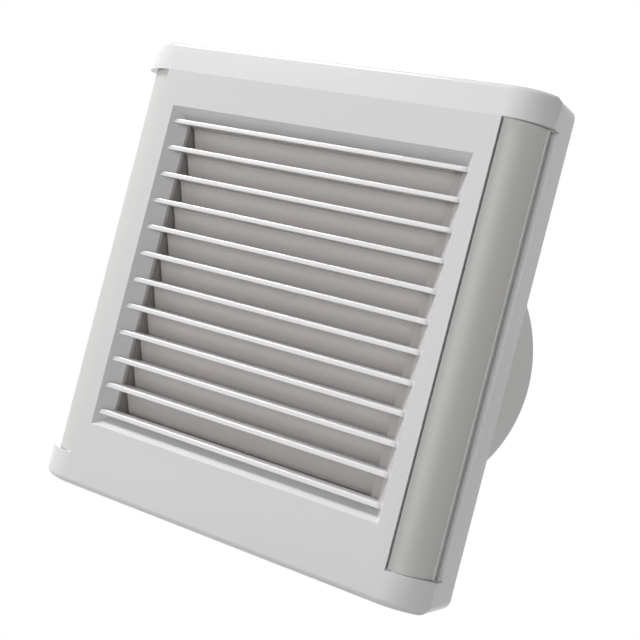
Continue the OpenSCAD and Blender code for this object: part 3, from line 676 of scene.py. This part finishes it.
def rubber(name, colour):
    """Matt rubber with a fine bloom."""
    material, tree, shader = new_material(name)
    skin = use(
        tree,
        moulded_group(),
        Colour=colour,
        Flow=0.5,
        Sheen_spread=0.2,
        Roughness=0.65,
        Peel_scale=1800.0,
    )
    tree.links.new(skin.outputs["Colour"], shader.inputs["Base Color"])
    tree.links.new(skin.outputs["Roughness"], shader.inputs["Roughness"])
    bump(
        tree, shader, skin.outputs["Height"], strength=0.4, distance=0.03 * MM
    )
    return material


def dress(name, material, width=0.0, **rounding):
    """Gives a CAD node its material and rounds its edges."""
    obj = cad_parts[name]
    obj.data.materials.clear()
    obj.data.materials.append(material)
    if width > 0:
        rounded(obj, width, **rounding)


def colours():
    return bpy.context.scene.fan_colours


def sizes():
    return bpy.context.scene.fan_sizes


# ---- operators ----------------------------------------------------------------------


class FanOperator(bpy.types.Operator):
    """Shared ground of the fan's operators."""

    bl_options = {"REGISTER", "UNDO"}


class FAN_OT_cover(FanOperator):
    """Finish the front cover in gloss white plastic"""

    bl_idname = "fan.cover"
    bl_label = "Front cover"

    def execute(self, context):
        finish = plastic(
            "Gloss white",
            colours().cover,
            roughness=0.24,
            flow=0.03,
            spread=0.05,
            peel=420.0,
            depth=0.012 * MM,
            shade_dust=0.3,
            reach=2.5 * MM,
            coat=0.4,
        )
        fins = fin_noses(sizes().fins, sizes().fin_pitch)
        fins.data.materials.append(finish)
        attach(fins, "housing")
        beads = edge_beads(sizes().band)
        beads.data.materials.append(finish)
        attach(beads, "housing")
        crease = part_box("front_cover")[1][2] - sizes().band
        dress("front_cover", finish, sizes().rounding, crease=crease, soft=sizes().soft)
        return {"FINISHED"}


def rail(start, stop, tall, deep, turn, lean=0.0):
    """A rounded rectangle in (y, z) carried along X and closed at both ends. Each
    corner is a quarter turn of radius `turn`. The front half leans back by `lean`."""
    corner_steps, length_steps = 7, 41
    q = np.linspace(0, np.pi / 2, corner_steps)
    corner = np.arange(4)[:, None] * np.pi / 2 + q[None, :]
    signs = np.array([[1, 1], [-1, 1], [-1, -1], [1, -1]])[:, None, :]
    inner = np.array([deep / 2 - turn, tall / 2 - turn])
    outline = signs * inner + turn * np.stack([np.cos(corner), np.sin(corner)], -1)
    y, z = outline.reshape(-1, 2).T
    y = y + (z + tall / 2) * math.tan(lean) * (y < 0)
    x = np.linspace(start, stop, length_steps)
    rings = np.stack(np.broadcast_arrays(x[:, None], y[None, :], z[None, :]), -1)
    rings = capped(rings)
    return rings, grid_faces(len(rings), len(y), False, True)[:, ::-1]


def fin_noses(count, pitch):
    """The grille's fin noses: a leaning rail per fin, run into the opening's sides."""
    low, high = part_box("front_cover")
    side, setback = 26 * MM, 1.05 * MM
    tall, deep, turn, lean = 2.3 * MM, 1.9 * MM, 0.45 * MM, math.radians(18)
    reach = (high[0] - low[0]) / 2 - side
    rings, faces = rail(-reach, reach, tall, deep, turn, lean)
    rings[..., 1] += low[1] + setback + deep / 2
    middle = (low[2] + high[2]) / 2
    heights = middle + (np.arange(count) - (count - 1) / 2) * pitch
    parts = [(rings + np.array([0, 0, height]), faces) for height in heights]
    return mesh_object("fin_noses", parts)


def edge_beads(band):
    """The four beads along the caps' edges, over the strips' ends. Each is a tube of
    radius `thick`, whose middle follows the side's arc of radius `side` from the
    recess's inner wall to its ledge."""
    low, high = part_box("front_cover")
    side, thick, clear, sunk = 24 * MM, 0.7 * MM, 0.3 * MM, 0.25 * MM
    length_steps, round_steps = 40, 16
    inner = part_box("right_trim_strip")[0][0] - clear
    start, stop = math.asin((inner - high[0] + side) / side), math.radians(78)
    turn = np.linspace(start, stop, length_steps)
    x = high[0] - side + (side - thick) * np.sin(turn)
    y = low[1] + side - (side - thick) * np.cos(turn)
    t = np.linspace(0, 2 * np.pi, round_steps, endpoint=False)[None, :]
    out = thick * np.cos(t)
    rings = np.stack(
        [
            x[:, None] + out * np.sin(turn)[:, None],
            y[:, None] - out * np.cos(turn)[:, None],
            thick * np.sin(t) + 0 * x[:, None],
        ],
        -1,
    )
    rings = capped(rings)
    faces = grid_faces(len(rings), round_steps, False, True)
    parts = []
    for height in (low[2] + band - sunk, high[2] - band + sunk):
        raised = rings + np.array([0, 0, height])
        parts.append((raised, faces))
        parts.append((raised * np.array([-1, 1, 1]), faces[:, ::-1]))
    return mesh_object("edge_beads", parts)


def frame_sill():
    """The low rail behind the lowest flap. It stands on the frame's bottom wall,
    clear of the flap's swing."""
    left, right, middle_y, middle_z = -68.0 * MM, 63.5 * MM, -9.4 * MM, -57.5 * MM
    tall, deep, turn = 3.2 * MM, 2.0 * MM, 0.5 * MM
    rings, faces = rail(left, right, tall, deep, turn)
    rings[..., 1] += middle_y
    rings[..., 2] += middle_z
    return mesh_object("frame_sill", [(rings, faces)])


class FAN_OT_trim(FanOperator):
    """Finish the two trim strips in satin pearl"""

    bl_idname = "fan.trim"
    bl_label = "Trim strips"

    def execute(self, context):
        finish = plastic(
            "Satin pearl",
            colours().trim,
            roughness=0.48,
            flow=0.05,
            peel=900.0,
            depth=0.012 * MM,
            shade_dust=0.3,
            reach=2 * MM,
        )
        for name in ("left_trim_strip", "right_trim_strip"):
            dress(name, finish, width=0.2 * MM)
        return {"FINISHED"}


class FAN_OT_housing(FanOperator):
    """Finish the back plate, the duct sleeve and the motor mount"""

    bl_idname = "fan.housing"
    bl_label = "Back housing"

    def execute(self, context):
        finish = plastic(
            "Housing white",
            colours().housing,
            roughness=0.42,
            flow=0.05,
            peel=1100.0,
            depth=0.02 * MM,
            shade_dust=0.6,
            reach=5 * MM,
        )
        for name in ("base_housing", "duct_sleeve", "motor_mount"):
            dress(name, finish, width=0.3 * MM)
        return {"FINISHED"}


class FAN_OT_shutter(FanOperator):
    """Finish the shutter frame, its eleven flaps, the link and the actuator"""

    bl_idname = "fan.shutter"
    bl_label = "Shutter"

    def execute(self, context):
        finish = plastic(
            "Shutter grey",
            colours().shutter,
            roughness=0.40,
            flow=0.10,
            spread=0.10,
            peel=1300.0,
            depth=0.015 * MM,
            shade_dust=0.7,
            reach=5 * MM,
        )
        # Painted shade: the frame is the flaps' plastic, darkened for the shade inside
        # the opening.
        frame_shade = plastic(
            "Frame in painted shade",
            colours().frame_shade,
            roughness=0.45,
            flow=0.10,
            spread=0.10,
            peel=1300.0,
            depth=0.015 * MM,
            shade_dust=0.7,
            reach=5 * MM,
        )
        dress("shutter_frame", frame_shade, width=0.2 * MM)
        sill = frame_sill()
        # The sill takes the frame's painted shade.
        sill.data.materials.append(frame_shade)
        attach(sill, "housing")
        for name in [*FLAPS, "shutter_link"]:
            dress(name, finish, width=0.12 * MM, segments=2)
        case = plastic("Actuator case", colours().terminal, roughness=0.38, peel=1500.0)
        dress("actuator_body", case, width=0.25 * MM)
        pin = metal(
            "Plunger steel", colours().steel, roughness=0.22, along=(900.0, 900.0, 50.0)
        )
        dress("actuator_plunger", pin, width=0.15 * MM)
        return {"FINISHED"}


class FAN_OT_motor(FanOperator):
    """Finish the motor's can, bell, cores, bushings and shaft, and wind its coils"""

    bl_idname = "fan.motor"
    bl_label = "Motor"

    def execute(self, context):
        tones = colours()
        drawn = metal(
            "Drawn steel", tones.steel, roughness=0.34, along=(70.0, 500.0, 70.0)
        )
        dress("motor_can", drawn, width=0.4 * MM)
        dress("motor_end_bell", drawn, width=0.3 * MM)
        ground = metal(
            "Ground steel", tones.steel, roughness=0.2, along=(300.0, 2500.0, 300.0)
        )
        dress("motor_shaft", ground, width=0.25 * MM)
        stack = laminations("Laminations", tones.core)
        dress("stator_core", stack)
        dress("rotor_core", stack)
        sintered = metal(
            "Sintered bronze",
            tones.bronze,
            roughness=0.45,
            along=(1500.0, 1500.0, 1500.0),
            hair=0.3,
            stain=0.3,
        )
        for name in ("front_bushing", "rear_bushing"):
            dress(name, sintered, width=0.2 * MM)
        coils = wound_coils(sizes().wire)
        coils.data.materials.append(enamel("Winding enamel", tones.winding))
        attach(coils, "housing")
        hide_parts("stator_coils")
        return {"FINISHED"}


def wound_coils(wire):
    """Four coils. Each is the bundle's outline carried round a path about its pole. The
    outline is a rounded rectangle (a, b) with a ripple for each turn of wire. The path
    is corners of radius `turn` joined by straight runs."""
    low, high = (np.array(v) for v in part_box("stator_coils"))
    y0, y1 = low[1], high[1]
    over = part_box("stator_core")[0][1] - y0
    half = sizes().pole / 2
    rotor_gap, corner_slack, square = 1.4 * MM, 0.4 * MM, 0.35
    ripple_height, ripple_sunk = wire * 0.35, wire * 0.45
    x0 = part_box("rotor_core")[1][0] + rotor_gap
    rows, cols = 96, 160
    # path round the pole, in (y, z), through the middle of the bundle
    mid = over / 2
    hy, hz = (y1 - y0) / 2 - mid, half + mid
    turn = over / 2 + corner_slack
    t = np.linspace(0, 2 * np.pi, rows, endpoint=False)
    corner = np.floor(t / (np.pi / 2)).astype(int)
    local = t - corner * np.pi / 2
    signs = np.array([[1, 1], [-1, 1], [-1, -1], [1, -1]])[corner]
    bend = np.clip((local / (np.pi / 2) - 0.25) * 2, 0, 1)
    arc = corner * np.pi / 2 + bend * np.pi / 2
    centre = signs * np.array([hy - turn, hz - turn])
    path = centre + turn * np.stack([np.cos(arc), np.sin(arc)], -1)
    out = np.stack([np.cos(arc), np.sin(arc)], -1)
    # outline of the bundle, in (x, outwards)
    thick = (high[0] - x0) / 2
    s = np.linspace(0, 2 * np.pi, cols, endpoint=False)
    a = thick * np.sign(np.cos(s)) * np.abs(np.cos(s)) ** square
    b = over / 2 * np.sign(np.sin(s)) * np.abs(np.sin(s)) ** square
    around = np.cumsum(np.hypot(np.diff(a, append=a[0]), np.diff(b, append=b[0])))
    ripple = np.abs(np.sin(np.pi * around / wire)) * ripple_height - ripple_sunk
    long = np.hypot(a, b)
    a, b = a * (1 + ripple / long), b * (1 + ripple / long)
    x = x0 + thick + a[None, :] + 0 * path[:, :1]
    yz = path[:, None, :] + out[:, None, :] * b[None, :, None]
    middle = (y0 + y1) / 2
    coil = np.stack([x, middle + yz[..., 0], yz[..., 1]], -1)
    faces = grid_faces(rows, cols, True, True)
    parts = [(turned(coil, k * math.pi / 2), faces) for k in range(4)]
    return mesh_object("winding_coils", parts)


class FAN_OT_impeller(FanOperator):
    """Mould the impeller with twisted blades and a rounded hub, and fit its nut"""

    bl_idname = "fan.impeller"
    bl_label = "Impeller"

    def execute(self, context):
        finish = plastic(
            "Impeller white",
            colours().impeller,
            roughness=0.38,
            flow=0.08,
            peel=1200.0,
            depth=0.02 * MM,
            shade_dust=0.5,
            reach=6 * MM,
        )
        wheel = smooth_impeller(sizes().blades)
        wheel.data.materials.append(finish)
        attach(wheel, "fan_rotor")
        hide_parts("impeller")
        zinc = metal("Nut zinc", colours().screws, roughness=0.25)
        dress("impeller_nut", zinc, width=0.25 * MM)
        return {"FINISHED"}


def impeller_hub(y0, hub_r, hub_len, wall):
    """The hub: a closed profile of (radius, y) turned round Y. It is a cup with a
    rounded shoulder of radius `turn`, a round rim and a boss with a bore."""
    face, turn, flat, waist = 3 * MM, 5 * MM, 6 * MM, 12 * MM
    boss, bore, lip, root, foot = 7 * MM, 3.02 * MM, 0.5 * MM, 1.5 * MM, 0.4 * MM
    q = np.linspace(-np.pi / 2, 0, 12)
    outer = np.stack(
        [hub_r - turn + turn * np.cos(q), y0 + turn + turn * np.sin(q)], -1
    )
    inner_r = turn - wall
    inner = np.stack(
        [
            hub_r - turn + inner_r * np.cos(q[::-1]),
            y0 + turn + inner_r * np.sin(q[::-1]),
        ],
        -1,
    )
    e = np.linspace(0, np.pi, 7)[1:-1]
    rim = np.stack(
        [
            hub_r - wall / 2 + wall / 2 * np.cos(e),
            y0 + hub_len - wall / 2 + wall / 2 * np.sin(e),
        ],
        -1,
    )
    profile = np.concatenate(
        [
            [[bore + lip, y0]],
            [[hub_r - turn - flat, y0]],
            outer,
            [[hub_r, y0 + waist]],
            [[hub_r, y0 + hub_len - wall / 2]],
            rim,
            [[hub_r - wall, y0 + hub_len - wall / 2]],
            [[hub_r - wall, y0 + waist]],
            inner,
            [[boss + root, y0 + face]],
            [[boss + foot, y0 + face + foot]],
            [[boss, y0 + face + root]],
            [[boss, y0 + hub_len - lip]],
            [[boss - lip, y0 + hub_len]],
            [[bore + lip, y0 + hub_len]],
            [[bore, y0 + hub_len - lip]],
            [[bore, y0 + lip]],
        ]
    )
    return revolved(profile, 128)


def impeller_blade(root, hub_r, tip, middle):
    """A blade from radius `root` to radius `tip`. At radius r its section is a cambered
    strip of chord c(r) at pitch p(r), wrapped on the radius and thinner at its edges.
    Chord and pitch run evenly from hub to tip. The root swells into a fillet, the tip's
    corners are rounded, and the blade sweeps forward with the square of the way out."""
    rows, around_steps = 44, 52
    # chords in millimetres, angles in degrees
    hub_chord, tip_chord, hub_pitch, tip_pitch, sweep = 30, 46, 44, 24, 14
    half_thick, edge_share, camber = 1 * MM, 0.35, 0.07
    swell, fillet_reach, fillet_rate = 1.6, 2.2 * MM, 1.2
    tip_start, tip_share = 0.94, 0.35
    f = np.linspace(0, 1, rows)[:, None]
    around = np.linspace(0, 2 * np.pi, around_steps, endpoint=False)[None, :]
    u = 0.5 * np.cos(around)
    side = np.sin(around)
    radius = root * (1 - f) + tip * f
    chord = (hub_chord * (1 - f) + tip_chord * f) * MM
    pitch = np.radians(hub_pitch * (1 - f) + tip_pitch * f)
    past = ((f - tip_start) / (1 - tip_start)).clip(0)
    chord = chord * np.sqrt(np.clip(1 - past**2 * tip_share, 0, 1))
    bow = 1 - 4 * u * u
    fillet = 1 + swell * np.exp(-(((radius - hub_r) / fillet_reach) ** 2) * fillet_rate)
    thick = half_thick * side * (edge_share + (1 - edge_share) * bow) * fillet
    n = chord * camber * bow + thick
    shift = u * chord * np.cos(pitch) - n * np.sin(pitch)
    axial = u * chord * np.sin(pitch) + n * np.cos(pitch)
    angle = shift / radius + np.radians(sweep) * f * f
    blade = np.stack(
        [radius * np.cos(angle), middle + axial, radius * np.sin(angle)], -1
    )
    # each end is closed by a row drawn in to the section's own middle line
    opposite = (-np.arange(around_steps)) % around_steps
    ends = 0.5 * (blade[[0, -1]] + blade[[0, -1]][:, opposite])
    blade = np.concatenate([ends[:1], blade, ends[1:]])
    return blade, grid_faces(rows + 2, around_steps, False, True)[:, ::-1]


def smooth_impeller(blades):
    """The hub, and the blades set evenly round it."""
    low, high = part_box("impeller")
    tip = (high[0] - low[0]) / 2
    y0, hub_r, hub_len, wall = 8 * MM, 25 * MM, 26 * MM, 2 * MM
    blade, faces = impeller_blade(hub_r - wall / 2, hub_r, tip, y0 + hub_len / 2)
    angles = [2 * math.pi * k / blades for k in range(blades)]
    parts = [impeller_hub(y0, hub_r, hub_len, wall)]
    parts += [(turned(blade, angle), faces) for angle in angles]
    return mesh_object("impeller_wheel", parts)


class FAN_OT_fasteners(FanOperator):
    """Finish the motor, frame and terminal screws"""

    bl_idname = "fan.fasteners"
    bl_label = "Fasteners"

    def execute(self, context):
        zinc = metal(
            "Screw zinc", colours().screws, roughness=0.24, along=(500.0, 500.0, 500.0)
        )
        for name in ("motor_screws", "frame_screws"):
            dress(name, zinc, width=0.12 * MM, segments=2)
        brass = metal(
            "Terminal brass",
            colours().bronze,
            roughness=0.3,
            along=(800.0, 800.0, 800.0),
        )
        dress("terminal_screws", brass, width=0.12 * MM, segments=2)
        return {"FINISHED"}


class FAN_OT_wiring(FanOperator):
    """Finish the terminal block and the cable grommet"""

    bl_idname = "fan.wiring"
    bl_label = "Wiring parts"

    def execute(self, context):
        block = plastic(
            "Terminal block", colours().terminal, roughness=0.45, peel=1400.0
        )
        dress("terminal_block", block, width=0.2 * MM)
        dress("cable_grommet", rubber("Rubber", colours().rubber), width=0.3 * MM)
        return {"FINISHED"}


class FAN_OT_stage(FanOperator):
    """Set the camera at the photograph's angle, the lamps, the world and the floor"""

    bl_idname = "fan.stage"
    bl_label = "Studio"

    def execute(self, context):
        set_camera()
        set_world()
        for lamp in LAMPS:
            area_lamp(*lamp)
        pale_floor(sizes().floor_drop)
        return {"FINISHED"}


def set_camera():
    """The camera, with its right, up and backward axes as the columns of its turn."""
    data = bpy.data.cameras.new("Camera")
    data.lens = CAMERA_LENS
    data.sensor_width = CAMERA_SENSOR
    data.clip_start = 0.01
    data.clip_end = 50.0
    forward = np.array(CAMERA_FORWARD) / np.linalg.norm(CAMERA_FORWARD)
    up = np.array(CAMERA_UP)
    up = up - forward * (up @ forward)
    up /= np.linalg.norm(up)
    right = np.cross(forward, up)
    turn = Matrix(np.stack([right, up, -forward], -1).tolist()).to_4x4()
    camera = bpy.data.objects.new("Camera", data)
    camera.matrix_world = Matrix.Translation(CAMERA_PLACE) @ turn
    bpy.context.scene.collection.objects.link(camera)
    bpy.context.scene.camera = camera


def seen_ray(tree):
    """1 for camera, glossy and transmission rays, and 0 for those that carry light."""
    path = tree.nodes.new("ShaderNodeLightPath")
    camera, glossy, through = (
        path.outputs[f"Is {kind} Ray"] for kind in ("Camera", "Glossy", "Transmission")
    )
    return math_node(
        tree, "MAXIMUM", camera, math_node(tree, "MAXIMUM", glossy, through)
    )


def mixed_surface(tree, factor, first, second, output):
    """Links two shaders, mixed by a factor, to the surface of the named output node."""
    mixed = tree.nodes.new("ShaderNodeMixShader")
    tree.links.new(factor, mixed.inputs[0])
    tree.links.new(first.outputs[0], mixed.inputs[1])
    tree.links.new(second.outputs[0], mixed.inputs[2])
    tree.links.new(mixed.outputs[0], tree.nodes[output].inputs["Surface"])


def set_world():
    """White where a camera, glossy or transmission ray sees it, and soft grey light."""
    world = bpy.data.worlds.new("Studio")
    bpy.context.scene.world = world
    world.use_nodes = True
    tree = world.node_tree
    light = tree.nodes["Background"]
    light.inputs["Color"].default_value = WORLD_TINT
    light.inputs["Strength"].default_value = WORLD_LIGHT
    white = tree.nodes.new("ShaderNodeBackground")
    white.inputs["Color"].default_value = WHITE
    mixed_surface(tree, seen_ray(tree), light, white, "World Output")


def area_lamp(name, place, size, power):
    """A soft box of size (width, height) at `place`, upright and turned to the fan."""
    data = bpy.data.lights.new(name, "AREA")
    data.shape = "RECTANGLE"
    data.size, data.size_y = size
    data.energy = power
    lamp = bpy.data.objects.new(name, data)
    away = np.array(place) / np.linalg.norm(place)
    side = np.cross((0.0, 0.0, 1.0), away)
    side /= np.linalg.norm(side)
    turn = Matrix(np.stack([side, np.cross(away, side), away], -1).tolist()).to_4x4()
    lamp.matrix_world = Matrix.Translation(place) @ turn
    bpy.context.scene.collection.objects.link(lamp)


def pale_floor(height):
    """A flat disc grid: (r cos a, r sin a, height). It is pale near the middle and
    fades to white beyond, where it is seen."""
    rings, spokes = 24, 64
    r = np.linspace(0.0, FLOOR_RADIUS, rings)[:, None]
    a = np.linspace(0, 2 * np.pi, spokes, endpoint=False)[None, :]
    points = np.stack([r * np.cos(a), r * np.sin(a), height + 0 * r * a], -1)
    faces = grid_faces(rings, spokes, False, True)
    floor = mesh_object("studio_floor", [(points, faces)])
    material, tree, shader = new_material("Pale floor")
    place = put(tree, "ShaderNodeTexCoord").outputs["Object"]
    flat = put(tree, "ShaderNodeMapping", Vector=place, Scale=(1.0, 1.0, 0.0))
    away = tree.nodes.new("ShaderNodeVectorMath")
    away.operation = "LENGTH"
    tree.links.new(flat.outputs["Vector"], away.inputs[0])
    fade = put(
        tree,
        "ShaderNodeMapRange",
        interpolation_type="SMOOTHSTEP",
        Value=away.outputs["Value"],
        From_Min=FLOOR_FADE[0],
        From_Max=FLOOR_FADE[1],
    )
    seen = seen_ray(tree)
    factor = math_node(tree, "MULTIPLY", seen, fade.outputs["Result"])
    grain = noise(tree, place, scale=40.0, detail=4.0, roughness=0.6)
    pale = mix_colour(tree, grain, *FLOOR_PALE)
    tone = mix_colour(tree, seen, FLOOR_BOUNCE, pale)
    tree.links.new(tone, shader.inputs["Base Color"])
    shader.inputs["Roughness"].default_value = 0.9
    white = tree.nodes.new("ShaderNodeEmission")
    mixed_surface(tree, factor, shader, white, "Material Output")
    floor.data.materials.append(material)
    return floor


OPERATORS = (
    FAN_OT_stage,
    FAN_OT_cover,
    FAN_OT_trim,
    FAN_OT_housing,
    FAN_OT_shutter,
    FAN_OT_motor,
    FAN_OT_impeller,
    FAN_OT_fasteners,
    FAN_OT_wiring,
)


class FAN_PT_panel(bpy.types.Panel):
    """Lists the fan's pieces, colours and sizes."""

    bl_idname = "FAN_PT_panel"
    bl_label = "Window exhaust fan"
    bl_space_type = "VIEW_3D"
    bl_region_type = "UI"
    bl_category = "Exhaust Fan"

    def draw(self, context):
        layout = self.layout
        for operator in OPERATORS:
            layout.operator(operator.bl_idname)
        for group in (context.scene.fan_colours, context.scene.fan_sizes):
            for key in group.__annotations__:
                layout.prop(group, key)


CLASSES = (FanColours, FanSizes, *OPERATORS, FAN_PT_panel)


def register():
    for each in CLASSES:
        bpy.utils.register_class(each)
    bpy.types.Scene.fan_colours = bpy.props.PointerProperty(type=FanColours)
    bpy.types.Scene.fan_sizes = bpy.props.PointerProperty(type=FanSizes)


def unregister():
    del bpy.types.Scene.fan_sizes
    del bpy.types.Scene.fan_colours
    for each in reversed(CLASSES):
        bpy.utils.unregister_class(each)


def main():
    register()
    bpy.context.scene.view_settings.view_transform = "Standard"
    bpy.ops.fan.stage()
    bpy.ops.fan.cover()
    bpy.ops.fan.trim()
    bpy.ops.fan.housing()
    bpy.ops.fan.shutter()
    bpy.ops.fan.motor()
    bpy.ops.fan.impeller()
    bpy.ops.fan.fasteners()
    bpy.ops.fan.wiring()
    bpy.context.view_layer.update()


if __name__ == "__main__":
    main()
